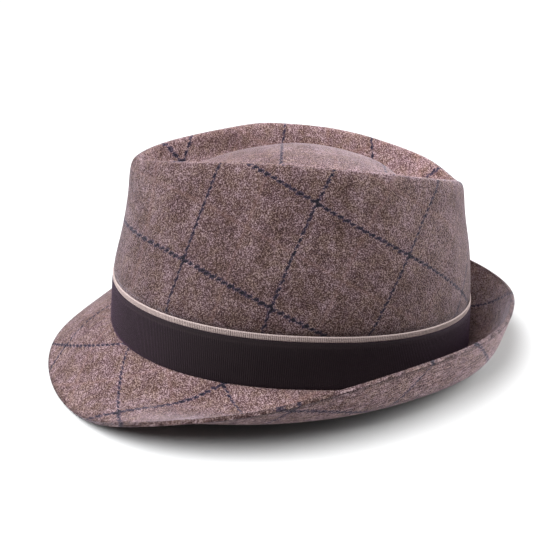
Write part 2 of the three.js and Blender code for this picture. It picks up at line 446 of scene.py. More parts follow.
@dataclass(frozen=True)
class Lines:
    """Parallel lines on flat cloth: their angle in degrees, the first one's place and their pitch."""

    angle: float
    place: float
    pitch: float

    def count(self, flat: np.ndarray, give: Numbers) -> np.ndarray:
        """Counts lines across the cloth: whole numbers lie on them.

        Args:
            flat: Places on the flat cloth, in millimetres.
            give: How far the cloth gave across the lines.

        Returns:
            Counts across the lines.
        """
        turn = math.radians(self.angle)
        across = flat[..., 1] * math.cos(turn) - flat[..., 0] * math.sin(turn)
        return (across + give - self.place) / self.pitch


@dataclass(frozen=True)
class Check:
    strong: Lines
    fine: Lines

    def count(self, flat: np.ndarray, strong_give: Numbers = 0.0, fine_give: Numbers = 0.0) -> np.ndarray:
        """Returns the counts across the fine and across the strong lines, as Lines.count gives them."""
        return np.stack([self.fine.count(flat, fine_give), self.strong.count(flat, strong_give)], axis=-1)


@dataclass(frozen=True)
class Give:
    """How far blocking drew the cloth across its lines, in millimetres, by its way along and up the side."""

    along: float
    along_along: float
    along_up: float
    up_up: float

    def at(self, along: np.ndarray, up: np.ndarray) -> np.ndarray:
        """Returns the give at a way along and up, each counted from the middle of the wearer's left."""
        drawn = self.along * along + self.along_along * along**2
        return drawn + self.along_up * along * up + self.up_up * up**2


@dataclass(frozen=True)
class SideCloth:
    """The crown's side, cut as a fan and drawn in over the block. Millimetres and degrees."""

    check: Check = Check(strong=Lines(-19.5, 26.5, 49.0), fine=Lines(-110.7, -72.3, 42.5))
    fan_per_metre: float = 239.0
    rise: float = 0.87
    strong_give: Give = Give(along=10.2, along_along=-8.5, along_up=3.7, up_up=2.2)
    fine_give: Give = Give(along=-5.2, along_along=1.0, along_up=-5.8, up_up=-0.5)
    give_along: float = 100.0
    give_up: float = 60.0
    give_fades: float = 1.5
    eased_from: float = -95.0
    eased: float = 0.4
    most_eased: float = 20.0

    def checks(self, directions: np.ndarray, rings: np.ndarray) -> np.ndarray:
        """Lays the check over the crown's side.

        Args:
            directions: The columns' directions, in radians.
            rings: Level points of the crown, from its foot up.

        Returns:
            Counts of checks, by ring and column.
        """
        along = run_along(rings[0])
        along = along - np.interp(math.pi / 2, directions, along)
        along = along + np.clip(self.eased * (self.eased_from - along), 0, self.most_eased)
        up = run_along(rings)
        turn = math.radians(self.fan_per_metre) * MM
        heading = along * turn
        x = np.sin(heading) / turn - up * self.rise * np.sin(heading)
        y = (1 - np.cos(heading)) / turn + up * self.rise * np.cos(heading)
        t = np.broadcast_to(along / self.give_along, up.shape)
        h = (up - self.give_up) / self.give_up
        held = np.exp(-((t / self.give_fades) ** 2))
        strong = self.strong_give.at(t, h) * held
        fine = self.fine_give.at(t, h) * held
        return self.check.count(np.stack([x, y], axis=-1), strong, fine)


@dataclass(frozen=True)
class TipCloth:
    """The crown's top inside the crest, one level piece pressed down round its dome."""

    check: Check = Check(strong=Lines(88.0, 19.5, 56.0), fine=Lines(-7.0, -12.5, 58.0))
    pressed: float = 0.5

    def checks(self, rings: np.ndarray) -> np.ndarray:
        """Lays the check over the crown's top.

        Args:
            rings: Level points of the crown, from its foot to its centre.

        Returns:
            Counts of checks, by ring and column.
        """
        plan = rings[..., :2]
        radius = np.linalg.norm(plan, axis=-1)
        run = run_along(rings)
        cut = radius + self.pressed * (run[-1] - run - radius)
        return self.check.count(plan * (cut / np.maximum(radius, TINY))[..., None])


@dataclass(frozen=True)
class Drawn:
    """How far blocking drew the cloth across its lines, from one place along it. Millimetres."""

    by: float
    start: float
    within: float

    def at(self, along: np.ndarray) -> np.ndarray:
        """Returns how far the cloth was drawn at places along it."""
        share = np.clip((along - self.start) / self.within, 0, 1)
        return self.by * share**2 * (3 - 2 * share)


@dataclass(frozen=True)
class BrimCloth:
    """The brim, cut as a strip on the bias and drawn across its lines where it curls up."""

    check: Check = Check(strong=Lines(-43.3, 33.2, 46.1), fine=Lines(-127.6, -9.7, 47.7))
    strong_drawn: Drawn = Drawn(by=-14.8, start=115.0, within=75.0)
    fine_drawn: Drawn = Drawn(by=-19.0, start=215.0, within=65.0)

    def checks(self, directions: np.ndarray, root: np.ndarray, out: np.ndarray) -> np.ndarray:
        """Lays the check over the brim.

        Args:
            directions: The columns' directions, in radians.
            root: Level points where the brim leaves the ribbon.
            out: The way out from the opening over the cloth, by ring and column.

        Returns:
            Counts of checks, by ring and column.
        """
        along = run_along(root)
        along = along - np.interp(0.0, directions, along)
        flat = np.stack([np.broadcast_to(along, out.shape), out], axis=-1)
        return self.check.count(flat, self.strong_drawn.at(along), self.fine_drawn.at(along))


# Modelling: tubes of cloth drawn up ring by ring and blocked onto a form


class Blank:
    """A plain tube of cloth, drawn up ring by ring from a circle, and then blocked onto a form."""

    def __init__(self, name: str, columns: int, rings: int, closed_top: bool, seam: float) -> None:
        """Draws the tube.

        Args:
            name: The piece's name.
            columns: Vertices in a ring, an even number.
            rings: Rings from foot to top, the closing point included.
            closed_top: Whether the last ring is one point.
            seam: The direction, in degrees from the front, where its cloth joins itself.
        """
        self.columns = columns
        self.seam = math.tau * round(seam / 360 * columns) / columns
        bpy.ops.object.select_all(action="DESELECT")
        bpy.ops.mesh.primitive_circle_add(vertices=columns, radius=1.0)
        self.piece = bpy.context.active_object
        self.piece.name = name
        self.piece.data.name = name
        bpy.ops.object.mode_set(mode="EDIT")
        bpy.ops.mesh.select_all(action="SELECT")
        for _ in range(rings - 1):
            bpy.ops.mesh.extrude_edges_move(TRANSFORM_OT_translate={"value": (0.0, 0.0, 1.0)})
        if closed_top:
            bpy.ops.mesh.merge(type="CENTER")
        bpy.ops.mesh.select_all(action="SELECT")
        bpy.ops.mesh.normals_make_consistent(inside=False)
        bpy.ops.object.mode_set(mode="OBJECT")
        self._read_places()

    def _read_places(self) -> None:
        """Notes each vertex's and each face corner's ring and column; the seam is column 0 and the last."""
        mesh = self.piece.data
        places = np.empty(len(mesh.vertices) * 3)
        mesh.vertices.foreach_get("co", places)
        places = places.reshape(-1, 3)
        corner = np.empty(len(mesh.loops), int)
        mesh.loops.foreach_get("vertex_index", corner)
        starts = np.empty(len(mesh.polygons), int)
        mesh.polygons.foreach_get("loop_start", starts)
        totals = np.empty(len(mesh.polygons), int)
        mesh.polygons.foreach_get("loop_total", totals)
        face = np.repeat(np.arange(len(starts)), totals)
        middle = np.add.reduceat(places[corner], starts) / totals[:, None]
        from_seam = (np.arctan2(places[:, 0], -places[:, 1]) - self.seam) % math.tau
        face_turn = ((np.arctan2(middle[:, 0], -middle[:, 1]) - self.seam) % math.tau)[face]
        at_pole = np.hypot(places[corner, 0], places[corner, 1]) < TINY
        own = face_turn + (from_seam[corner] - face_turn + math.pi) % math.tau - math.pi
        self.rings = np.rint(places[:, 2]).astype(int)
        self.places = np.rint(from_seam / math.tau * self.columns).astype(int)
        self.corner_rings = self.rings[corner]
        self.corner_places = np.where(at_pole, face_turn, own) / math.tau * self.columns
        self.face_rings = np.minimum.reduceat(self.corner_rings, starts)[face]

    @property
    def directions(self) -> np.ndarray:
        """The columns' directions, from the seam once round."""
        return self.seam + np.linspace(0, math.tau, self.columns + 1)

    def block(self, rings: np.ndarray) -> None:
        """Moves every vertex onto its place.

        Args:
            rings: Points in metres, by ring and column.
        """
        self.piece.data.vertices.foreach_set("co", rings[self.rings, self.places].ravel())
        self.piece.data.update()

    def lay_cloth(self, checks: np.ndarray, first: int, last: int, name: str = CHECK_MAP) -> None:
        """Writes where the faces of some rings lie on their cloth, as a UV map that is 0 elsewhere.

        Args:
            first: The first ring of the cloth.
            last: The last ring of the cloth.
            name: The map.
        """
        layers = self.piece.data.uv_layers
        layer = layers.get(name) or layers.new(name=name, do_init=False)
        flat = np.empty(len(self.corner_rings) * 2)
        layer.data.foreach_get("uv", flat)
        flat = flat.reshape(-1, 2)
        column = np.clip(self.corner_places, 0, self.columns)
        before = np.clip(np.floor(column).astype(int), 0, self.columns - 1)
        share = (column - before)[:, None]
        ring = self.corner_rings
        found = checks[ring, before] * (1 - share) + checks[ring, before + 1] * share
        inside = (self.face_rings >= first) & (self.face_rings < last)
        flat[inside] = found[inside]
        layer.data.foreach_set("uv", flat.ravel())

    def brush(self, by_ring: np.ndarray) -> None:
        """Paints light and shade by ring, as an attribute that scales the cloth's colour.

        Args:
            by_ring: Painted lightness by ring; 1 leaves the colour as it is.
        """
        nap = self.piece.data.attributes.new(PAINTED_LIGHT_ATTRIBUTE, "FLOAT", "POINT")
        nap.data.foreach_set("value", by_ring[self.rings].astype(np.float32))

    def weight(self, name: str, by_ring: np.ndarray) -> None:
        """Gives each vertex its ring's weight in a new vertex group.

        Args:
            name: The group.
            by_ring: Weights from 0 to 1, by ring.
        """
        group = self.piece.vertex_groups.new(name=name)
        for ring in np.unique(self.rings):
            members = np.flatnonzero(self.rings == ring).tolist()
            group.add(members, float(by_ring[ring]), "REPLACE")


def make_active(piece: bpy.types.Object) -> None:
    """Selects one piece alone and makes it the active one.

    Args:
        piece: The object.
    """
    bpy.ops.object.select_all(action="DESELECT")
    piece.select_set(True)
    bpy.context.view_layer.objects.active = piece


def apply_modifier(piece: bpy.types.Object, name: str, kind: str, **settings: object) -> None:
    """Adds a modifier with settings and applies it.

    Args:
        piece: The object.
        name: The modifier's name.
        kind: Its type.
        settings: Its properties.
    """
    make_active(piece)
    modifier = piece.modifiers.new(name, kind)
    for key, value in settings.items():
        setattr(modifier, key, value)
    bpy.ops.object.modifier_apply(modifier=modifier.name)


def merge_doubles(piece: bpy.types.Object) -> None:
    """Merges vertices that lie on each other and turns all faces outwards.

    Args:
        piece: The object.
    """
    make_active(piece)
    bpy.ops.object.mode_set(mode="EDIT")
    bpy.ops.mesh.select_all(action="SELECT")
    bpy.ops.mesh.remove_doubles(threshold=TINY)
    bpy.ops.mesh.normals_make_consistent(inside=False)
    bpy.ops.object.mode_set(mode="OBJECT")


def smooth_faces(piece: bpy.types.Object, angle: float) -> None:
    """Shades a piece smooth, but for edges sharper than an angle in degrees."""
    make_active(piece)
    bpy.ops.object.shade_smooth_by_angle(angle=math.radians(angle))


def press_on_surface(piece: bpy.types.Object) -> None:
    """Flattens the cloth that would lie below the surface the hat rests on."""
    for vertex in piece.data.vertices:
        vertex.co.z = max(vertex.co.z, 0.0)


# Materials


class Signal:
    """One output of a shader node, which Python's operators combine by Math nodes."""

    def __init__(self, bench: "Bench", output: bpy.types.NodeSocket) -> None:
        """Wraps an output of a node on a bench."""
        self.bench = bench
        self.output = output

    def _maths(self, operation: str, *values: object) -> "Signal":
        """Adds a Math node."""
        return self.bench.node("ShaderNodeMath", {"operation": operation}, dict(enumerate(values)))

    def __add__(self, other: object) -> "Signal":
        """Adds."""
        return self._maths("ADD", self, other)

    __radd__ = __add__

    def __mul__(self, other: object) -> "Signal":
        """Multiplies."""
        return self._maths("MULTIPLY", self, other)

    __rmul__ = __mul__

    def __sub__(self, other: object) -> "Signal":
        """Subtracts."""
        return self._maths("SUBTRACT", self, other)

    def __rsub__(self, other: object) -> "Signal":
        """Subtracts this from a number."""
        return self._maths("SUBTRACT", other, self)

    def __truediv__(self, other: object) -> "Signal":
        """Divides."""
        return self._maths("DIVIDE", self, other)

    def __abs__(self) -> "Signal":
        """Takes the sign away."""
        return self._maths("ABSOLUTE", self)

    def part(self) -> "Signal":
        """Returns the part after the decimal point."""
        return self._maths("FRACT", self)

    def most(self, other: object) -> "Signal":
        """Returns the greater of two."""
        return self._maths("MAXIMUM", self, other)

    def step(self, low: float, high: float) -> "Signal":
        """Turns this into a smooth step.

        Args:
            low: Where it is still 0.
            high: Where it has risen to 1.

        Returns:
            The step.
        """
        settings = {"interpolation_type": "SMOOTHSTEP"}
        sockets = {"Value": self, "From Min": low, "From Max": high}
        return self.bench.node("ShaderNodeMapRange", settings, sockets)


class Bench:
    """The node tree of one material."""

    def __init__(self, name: str) -> None:
        """Starts a material with a Principled shader.

        Args:
            name: The material's name.
        """
        self.material = bpy.data.materials.new(name)
        self.material.use_nodes = True
        self.tree = self.material.node_tree
        self.shader = self.tree.nodes["Principled BSDF"]

    def node(self, kind: str, settings: dict[str, object], sockets: dict, out: int | str = 0) -> Signal:
        """Adds any node.

        Args:
            kind: The node's type.
            settings: Its properties, set first; "stops" are a ramp's places and colours.
            sockets: Values or signals by input name or number.
            out: The output that is wanted.

        Returns:
            The output.
        """
        node = self.tree.nodes.new(kind)
        for key, value in settings.items():
            if key == "stops":
                self._set_stops(node.color_ramp, value)
            else:
                setattr(node, key, value)
        for key, value in sockets.items():
            self.feed(node.inputs[key], value)
        return Signal(self, node.outputs[out])

    @staticmethod
    def _set_stops(ramp: bpy.types.ColorRamp, stops: tuple) -> None:
        """Sets a ramp's places and colours.

        Args:
            ramp: The ramp.
            stops: Pairs of a place from 0 to 1 and a colour.
        """
        while len(ramp.elements) < len(stops):
            ramp.elements.new(1.0)
        for element, (place, colour) in zip(ramp.elements, stops):
            element.position = place
            element.color = (*colour, 1.0)

    def feed(self, socket: bpy.types.NodeSocket, value: object) -> None:
        """Links a signal to an input, or sets its number or colour.

        Args:
            socket: The input.
            value: A signal, a number or a colour.
        """
        if isinstance(value, Signal):
            self.tree.links.new(value.output, socket)
        elif socket.type == "RGBA" and len(value) == 3:
            socket.default_value = (*value, 1.0)
        else:
            socket.default_value = value

    def dress(self, **sockets: object) -> None:
        """Feeds the Principled shader's inputs, with _ for a space in their names."""
        for key, value in sockets.items():
            self.feed(self.shader.inputs[key.replace("_", " ")], value)

    def split(self, vector: Signal) -> list[Signal]:
        """Returns the three parts of a vector."""
        parts = self.node("ShaderNodeSeparateXYZ", {}, {"Vector": vector})
        return [Signal(self, output) for output in parts.output.node.outputs]

    def mix(self, share: object, first: object, second: object) -> Signal:
        """Mixes two colours."""
        sockets = {0: share, 6: first, 7: second}
        return self.node("ShaderNodeMix", {"data_type": "RGBA"}, sockets, 2)

    def noise(self, place: Signal, scale: float, detail: float, roughness: float) -> Signal:
        """Returns a noise from 0 to 1; scale is how many lumps there are in one unit of place."""
        sockets = {"Vector": place, "Scale": scale, "Detail": detail, "Roughness": roughness}
        return self.node("ShaderNodeTexNoise", {}, sockets)


def shade(red: float, green: float, blue: float) -> Shade:
    """Turns a colour as seen on a screen into the light that the shader counts in.

    Args:
        red: Red, from 0 to 255.
        green: Green, from 0 to 255.
        blue: Blue, from 0 to 255.

    Returns:
        The colour's light, from 0 to 1.
    """

    def light(value: float) -> float:
        """Returns one channel's light."""
        value /= 255
        return value / 12.92 if value <= 0.04045 else ((value + 0.055) / 1.055) ** 2.4

    return light(red), light(green), light(blue)


@dataclass(frozen=True)
class Yarn:
    """The shades of one yarn's fibres, from dark to pale."""

    dark: Shade
    middle: Shade
    pale: Shade

    def spin(self, bench: Bench, lightness: Signal) -> Signal:
        """Returns the yarn's colour at a lightness from 0 to 1."""
        stops = ((0.0, self.dark), (0.5, self.middle), (1.0, self.pale))
        return bench.node("ShaderNodeValToRGB", {"stops": stops}, {"Fac": lightness})


@dataclass(frozen=True)
class Speckle:
    """Uneven lumps of light and dark, which part the more sharply the less their spread is."""

    lumps: float
    detail: float
    roughness: float
    spread: float

    def at(self, bench: Bench, place: Signal) -> Signal:
        """Returns the lumps' lightness, from 0 to 1; lumps counts them in one unit of place."""
        noise = bench.noise(place, self.lumps, self.detail, self.roughness)
        return noise.step(0.5 - self.spread, 0.5 + self.spread)


@dataclass(frozen=True)
class Stitching:
    """One set of the check's lines: half its width and its stitches' slant, in millimetres."""

    half_width: float
    slant: float
    stitches_in_check: float
    fullness: float


@dataclass(frozen=True)
class Tweed:
    """Heathered wool with a stitched navy windowpane check and a faint rose one between.

    The weights say how much each unevenness lightens the yarn. Hues, flecks, knots and patches have their
    lumps in a metre. The twill's are counted in a check, and those of the hairs, which lie on the brim's
    underside alone, in a millimetre. The pitch and the overcheck's soft edge are in millimetres.
    """

    name: str = "checked_tweed"
    peat: Yarn = Yarn(shade(37, 20, 17), shade(73, 53, 48), shade(129, 109, 103))
    heather: Yarn = Yarn(shade(40, 23, 25), shade(82, 61, 63), shade(143, 122, 127))
    hues: Speckle = Speckle(lumps=170.0, detail=3.0, roughness=0.65, spread=0.2)
    flecks: Speckle = Speckle(lumps=1600.0, detail=1.0, roughness=0.6, spread=0.16)
    fleck_weight: float = 0.7
    knots: Speckle = Speckle(lumps=420.0, detail=2.0, roughness=0.6, spread=0.25)
    knot_weight: float = 0.19
    patches: Speckle = Speckle(lumps=75.0, detail=3.0, roughness=0.6, spread=0.25)
    patch_weight: float = 0.22
    twill: Speckle = Speckle(lumps=1.0, detail=1.0, roughness=0.5, spread=0.2)
    twill_weight: float = 0.14
    twill_across_fine: float = 70.0
    twill_across_strong: float = 25.0
    hairs: Speckle = Speckle(lumps=1.0, detail=2.0, roughness=0.6, spread=0.2)
    hair_weight: float = 0.85
    hairs_around: float = 0.22
    hairs_out: float = 1.7
    darkened: float = 0.13
    pitch: float = 50.0
    strong: Stitching = Stitching(half_width=1.6, slant=1.0, stitches_in_check=15.0, fullness=1.0)
    fine: Stitching = Stitching(half_width=1.3, slant=0.8, stitches_in_check=15.0, fullness=0.95)
    stitch_middle: float = 1.12
    stitch_taper: float = 0.9
    frayed_by_flecks: float = 0.3
    frayed_by_knots: float = 0.4
    halo: Shade = shade(42, 34, 52)
    halo_step: tuple[float, float] = (0.25, 0.6)
    halo_share: float = 0.85
    core: Shade = shade(16, 13, 21)
    core_step: tuple[float, float] = (0.5, 0.95)
    overcheck: Shade = shade(112, 84, 78)
    overcheck_step: tuple[float, float] = (0.36, 1.44)
    overcheck_share: float = 0.18
    fleck_height: float = 0.6
    knot_height: float = 0.4
    bump: float = 0.85
    bump_metres: float = 0.0004
    roughness: float = 0.95
    gloss: float = 0.15
    bloom: Shade = shade(208, 198, 212)
    bloom_weight: float = 0.4
    bloom_roughness: float = 0.3

    def material(self) -> bpy.types.Material:
        """Makes the material.

        Returns:
            The material of the crown and the brim.
        """
        bench = Bench(self.name)
        place = bench.node("ShaderNodeTexCoord", {}, {}, "Object")
        checks = bench.node("ShaderNodeUVMap", {"uv_map": CHECK_MAP}, {})
        across_fine, across_strong = bench.split(checks)[:2]
        flecks = self.flecks.at(bench, place)
        knots = self.knots.at(bench, place)
        ground = self.ground(bench, place, across_fine, across_strong, flecks, knots)
        over = self.line(across_strong + 0.5).most(self.line(across_fine + 0.5))
        ground = bench.mix(over * self.overcheck_share, ground, self.overcheck)
        strong = self.stitches(across_strong, across_fine, self.strong)
        fine = self.stitches(across_fine, across_strong, self.fine)
        frayed = (0.5 - flecks) * self.frayed_by_flecks + (0.5 - knots) * self.frayed_by_knots
        thread = strong + fine + frayed
        colour = bench.mix(thread.step(*self.halo_step) * self.halo_share, ground, self.halo)
        colour = bench.mix(thread.step(*self.core_step), colour, self.core)
        # Painted light and shade: the colour is scaled by the lightness painted ring by ring
        nap = bench.node("ShaderNodeAttribute", {"attribute_name": PAINTED_LIGHT_ATTRIBUTE}, {}, "Fac")
        colour = bench.node("ShaderNodeVectorMath", {"operation": "SCALE"}, {"Vector": colour, "Scale": nap})
        height = flecks * self.fleck_height + knots * self.knot_height
        relief = {"Strength": self.bump, "Distance": self.bump_metres, "Height": height}
        bench.dress(Base_Color=colour, Normal=bench.node("ShaderNodeBump", {}, relief))
        bench.dress(Roughness=self.roughness, Specular_IOR_Level=self.gloss, Sheen_Weight=self.bloom_weight)
        bench.dress(Sheen_Roughness=self.bloom_roughness, Sheen_Tint=self.bloom)
        return bench.material

    def ground(
        self,
        bench: Bench,
        place: Signal,
        across_fine: Signal,
        across_strong: Signal,
        flecks: Signal,
        knots: Signal,
    ) -> Signal:
        """Mixes the cloth's two yarns, without its lines.

        Args:
            bench: The material's bench.
            place: Places in metres.
            across_fine: Checks counted across the fine lines.
            across_strong: Checks counted across the strong lines.
            flecks: The flecks' lightness.
            knots: The knots' lightness.

        Returns:
            The ground's colour.
        """
        counted = {"X": across_fine * self.twill_across_fine, "Y": across_strong * self.twill_across_strong}
        twill = self.twill.at(bench, bench.node("ShaderNodeCombineXYZ", {}, counted))
        around, out = bench.split(bench.node("ShaderNodeUVMap", {"uv_map": HAIR_MAP}, {}))[:2]
        counted = {"X": around * self.hairs_around, "Y": out * self.hairs_out}
        hairs = self.hairs.at(bench, bench.node("ShaderNodeCombineXYZ", {}, counted)) - 0.5
        lightness = flecks * self.fleck_weight + twill * self.twill_weight + knots * self.knot_weight
        lightness = lightness + self.patches.at(bench, place) * self.patch_weight
        lightness = lightness + hairs * self.hair_weight - self.darkened
        hues = self.hues.at(bench, place)
        return bench.mix(hues, self.peat.spin(bench, lightness), self.heather.spin(bench, lightness))

    def off_line(self, count: Signal) -> Signal:
        """Returns the distance from the nearest line, in millimetres and with its side."""
        return ((count + 0.5).part() - 0.5) * self.pitch

    def line(self, count: Signal) -> Signal:
        """Is 1 on the faint lines and 0 off them, with a soft edge."""
        return 1.0 - abs(self.off_line(count)).step(*self.overcheck_step)

    def stitches(self, across: Signal, along: Signal, thread: Stitching) -> Signal:
        """Draws the slanted stitches of one set of lines.

        Args:
            across: Checks counted across the lines.
            along: Checks counted along them.
            thread: The line's sizes.

        Returns:
            How much thread lies there, from 0 to about 1.
        """
        way = (along * thread.stitches_in_check).part() - 0.5
        off = self.off_line(across) - way * thread.slant
        across_thread = (1.0 - abs(off) / thread.half_width).most(0.0)
        return across_thread * (self.stitch_middle - abs(way) * self.stitch_taper) * thread.fullness


@dataclass(frozen=True)
class Grosgrain:
    """Ribbed ribbon: the ribs are in its mesh, and this paints shade into their valleys and light onto their
    crests, and draws its selvages.
    """

    name: str
    valley_painted_shade: Shade
    crest: Shade
    selvage: Shade
    selvage_from: float
    selvage_to: float
    bloom: Shade
    bloom_weight: float
    threads: Speckle = Speckle(lumps=1500.0, detail=2.0, roughness=0.6, spread=0.2)
    thread_weight: float = 0.25
    shades: Speckle = Speckle(lumps=90.0, detail=3.0, roughness=0.6, spread=0.2)
    shade_weight: float = 0.15
    rib_step: tuple[float, float] = (0.1, 0.8)
    rib_painted_light: float = 0.6
    selvage_fade: float = 0.03
    selvage_threads: float = 0.4
    bump: float = 0.4
    bump_metres: float = 0.0002
    roughness: float = 0.75
    gloss: float = 0.12
    bloom_roughness: float = 0.4

    def material(self) -> bpy.types.Material:
        """Makes the material.

        Returns:
            The ribbon's material.
        """
        bench = Bench(self.name)
        place = bench.node("ShaderNodeTexCoord", {}, {}, "Object")
        weave = bench.node("ShaderNodeUVMap", {"uv_map": WEAVE_MAP}, {})
        across_rib, up = bench.split(weave)[:2]
        # Painted shade and light: the rib's valleys get the darker colour and its crests the lighter, over
        # the ribs modelled in the mesh
        rib = (1.0 - abs(across_rib * 2.0 - 1.0)).step(*self.rib_step)
        threads = self.threads.at(bench, place)
        shades = self.shades.at(bench, place)
        lightness = rib * self.rib_painted_light + threads * self.thread_weight + shades * self.shade_weight
        colour = bench.mix(lightness, self.valley_painted_shade, self.crest)
        begins = up.step(self.selvage_from - self.selvage_fade, self.selvage_from)
        ends = up.step(self.selvage_to, self.selvage_to + self.selvage_fade)
        woven = threads * self.selvage_threads + (1.0 - self.selvage_threads)
        colour = bench.mix((begins - ends) * woven, colour, self.selvage)
        relief = {"Strength": self.bump, "Distance": self.bump_metres, "Height": threads}
        bench.dress(Base_Color=colour, Normal=bench.node("ShaderNodeBump", {}, relief))
        bench.dress(Roughness=self.roughness, Specular_IOR_Level=self.gloss, Sheen_Weight=self.bloom_weight)
        bench.dress(Sheen_Roughness=self.bloom_roughness, Sheen_Tint=self.bloom)
        return bench.material


# Pieces of the hat


@dataclass
class Crown:
    """The cloth crown, blocked from its foot over the crest to the dome; its tip is sewn in at the crest.

    Painted light and shade is given as a factor on the colour at rings counted from the tip's seam: darkest
    at the foot, lightest just inside the crest. Above the ribbons, freed_over is how many rings it takes the
    cloth to become as uneven as it gets.
    """

    form: CrownForm
    side: SideCloth = SideCloth()
    tip: TipCloth = TipCloth()
    seam: float = -180.0
    columns: int = 144
    foot_rows: int = 5
    steps: tuple[int, ...] = (2, 6, 7, 6, 4, 4, 3, 4, 4, 5, 8)
    spans_of_side: int = 5
    painted_light_places: tuple[int, ...] = (-24, 0, 1, 11, 17)
    nap: tuple[float, ...] = (0.63, 0.82, 1.3, 1.26, 0.98)
    crease_half_width: float = 0.45
    crease_depth: float = 0.5
    freed_over: int = 6
    unevenness: float = 1.1
    unevenness_size: float = 32.0

    def crease(self, rings: np.ndarray, ring: int) -> None:
        """Draws the neighbours of a ring close to it and presses it in, as where two cloths are sewn.

        Args:
            rings: Level points of the crown, changed in place.
            ring: The ring of the seam.
        """
        for beside in (ring - 1, ring + 1):
            way = rings[beside] - rings[ring]
            length = np.linalg.norm(way, axis=-1, keepdims=True)
            rings[beside] = rings[ring] + way / length * self.crease_half_width
        rings[ring, :, 2] -= self.crease_depth

    def build(self, rest: RestingPlace) -> bpy.types.Object:
        """Models the crown.

        Args:
            rest: How the hat lies.

        Returns:
            The crown's object.
        """
        last = self.foot_rows + sum(self.steps)
        tip_seam = self.foot_rows + sum(self.steps[: self.spans_of_side])
        blank = Blank("crown_cloth", self.columns, last + 1, True, self.seam)
        upper = smooth_line(self.form.knots(blank.directions), self.steps)
        heights = np.linspace(self.form.foot, self.form.oval.flare_top, self.foot_rows, endpoint=False)
        foot = np.stack([self.form.point(blank.directions, 1, 0, z) for z in heights])
        rings = np.concatenate([foot, upper])
        blank.lay_cloth(self.side.checks(blank.directions, rings), 0, tip_seam)
        blank.lay_cloth(self.tip.checks(rings), tip_seam, last + 1)
        self.crease(rings, tip_seam)
        # Painted light and shade by ring: darkest at the foot, lightest just inside the crest
        places = [tip_seam + place for place in self.painted_light_places]
        blank.brush(np.interp(np.arange(last + 1), places, self.nap))
        blank.block(rest.row(rings))
        free = np.clip((np.arange(last + 1) - self.foot_rows - 1) / self.freed_over, 0, 1)
        blank.weight("free_of_ribbon", free)
        clouds = bpy.data.textures.new("cloth_unevenness", "CLOUDS")
        clouds.noise_scale = self.unevenness_size * MM
        clouds.noise_depth = 1
        apply_modifier(
            blank.piece,
            "unevenness",
            "DISPLACE",
            texture=clouds,
            texture_coords="LOCAL",
            strength=self.unevenness * MM,
            mid_level=0.5,
            vertex_group="free_of_ribbon",
        )
        wall = {"thickness": self.form.cloth * MM, "offset": -1.0, "use_even_offset": True}
        apply_modifier(blank.piece, "cloth", "SOLIDIFY", **wall)
        apply_modifier(blank.piece, "steam", "SUBSURF", levels=1, render_levels=1)
        smooth_faces(blank.piece, SHARP_CLOTH)
        return blank.piece


@dataclass
class Brim:
    """The cloth brim, with its rounded edge, and the painted light and shade above, at the edge and below.
    """

    form: BrimForm
    cloth: BrimCloth = BrimCloth()
    seam: float = -120.0
    columns: int = 180
    rows: int = 15
    edge_rows: int = 3
    edge_fullness: float = 0.5
    top_painted_light: float = 0.94
    edge_painted_shade: float = 0.56
    under_painted_light: float = 1.35

    def build(self, rest: RestingPlace) -> bpy.types.Object:
        """Models the brim.

        Args:
            rest: How the hat lies.

        Returns:
            The brim's object.
        """
        upper_edge = self.rows + 1
        lower_edge = upper_edge + self.edge_rows + 1
        count = lower_edge + self.rows + 2
        blank = Blank("brim_cloth", self.columns, count + 1, False, self.seam)
        upper, lower = self.form.faces(blank.directions, self.rows)
        middle = (upper[-1] + lower[-1]) / 2
        half = (upper[-1] - lower[-1]) / 2
        outwards = self.form.oval.outwards(blank.directions, self.form.root)
        up = half / np.linalg.norm(half, axis=-1, keepdims=True)
        out = outwards - up * np.sum(outwards * up, axis=-1, keepdims=True)
        out /= np.linalg.norm(out, axis=-1, keepdims=True)
        bulge = self.edge_fullness * self.form.cloth
        turns = math.pi * np.arange(1, self.edge_rows + 1) / (self.edge_rows + 1)
        edge = [middle + half * math.cos(turn) - out * bulge * (1 - math.sin(turn)) for turn in turns]
        rings = np.concatenate([upper, np.stack(edge), lower[::-1], upper[:1]])
        ways = run_along(upper)
        turned = np.repeat(ways[-1:], self.edge_rows, axis=0)
        ways = np.concatenate([ways, turned, ways[::-1], ways[:1]])
        blank.lay_cloth(self.cloth.checks(blank.directions, upper[1], ways), 0, count)
        around = np.broadcast_to(run_along(upper[1]), ways.shape)
        blank.lay_cloth(np.stack([around, ways], axis=-1), upper_edge + 2, count - 2, HAIR_MAP)
        ring = np.arange(count + 1)
        at_edge = (ring >= upper_edge) & (ring <= lower_edge)
        under = (ring > lower_edge) & (ring < count - 1)
        # Painted light and shade: the rolled edge darker, the underside lighter as if lit from the floor,
        # the top a little darker
        blank.brush(np.where(at_edge, self.edge_painted_shade, np.where(under, self.under_painted_light, self.top_painted_light)))
        blank.block(rest.row(rings))
        merge_doubles(blank.piece)
        apply_modifier(blank.piece, "steam", "SUBSURF", levels=1, render_levels=1)
        press_on_surface(blank.piece)
        smooth_faces(blank.piece, SHARP_CLOTH)
        return blank.piece


